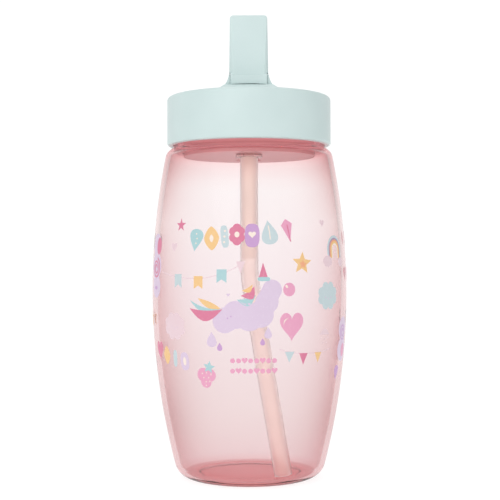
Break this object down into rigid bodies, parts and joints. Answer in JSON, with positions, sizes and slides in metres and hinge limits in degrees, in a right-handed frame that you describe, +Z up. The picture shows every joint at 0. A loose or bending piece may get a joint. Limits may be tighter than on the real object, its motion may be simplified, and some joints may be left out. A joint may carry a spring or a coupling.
{
  "type": "kids straw water bottle",
  "caption": "Barrel-shaped clear bottle for a child, with a screw lid, a folding spout on a hinge and a bent drinking straw inside.",
  "frame": {"origin": "centre of the base, on the surface that the bottle stands on", "axes": "+Z up along the bottle's axis; the printed front and the hinge face -Y; the hinge axis lies along X"},
  "size_m": [0.0749, 0.0748, 0.1752],
  "materials": {
    "tinted_shell": "clear glossy pink-tinted plastic",
    "mint_plastic": "smooth satin moulded plastic",
    "clear_silicone": "soft translucent silicone",
    "straw_silicone": "soft translucent silicone",
    "milky_plastic": "natural translucent plastic",
    "print_ink": "screen-printed ink on the bottle"
  },
  "bodies": {
    "bottle": {"bottle_body": "tinted_shell"},
    "ring": {"neck_gasket": "clear_silicone"},
    "lid": {"lid_shell": "mint_plastic", "lid_plug": "tinted_shell", "air_valve": "clear_silicone", "spout_seat": "clear_silicone", "straw_stem": "milky_plastic", "straw": "straw_silicone"},
    "spout": {"spout": "mint_plastic"}
  },
  "joints": [
    {"name": "lid_lift", "type": "slide", "parent": "bottle", "child": "ring", "axis": [0, 0, 1], "range_m": [0, 0.00625]},
    {"name": "lid_turn", "type": "hinge", "parent": "ring", "child": "lid", "pos_m": [0, 0, 0.1396], "axis": [0, 0, 1], "range_deg": [0, 450]},
    {"name": "spout_fold", "type": "hinge", "parent": "lid", "child": "spout", "pos_m": [0, -0.013, 0.1498], "axis": [-1, 0, 0], "range_deg": [0, 90]}
  ],
  "couplings": [
    {"joint": "lid_turn", "follows": "lid_lift", "rad_per_m": 1256.6}
  ]
}
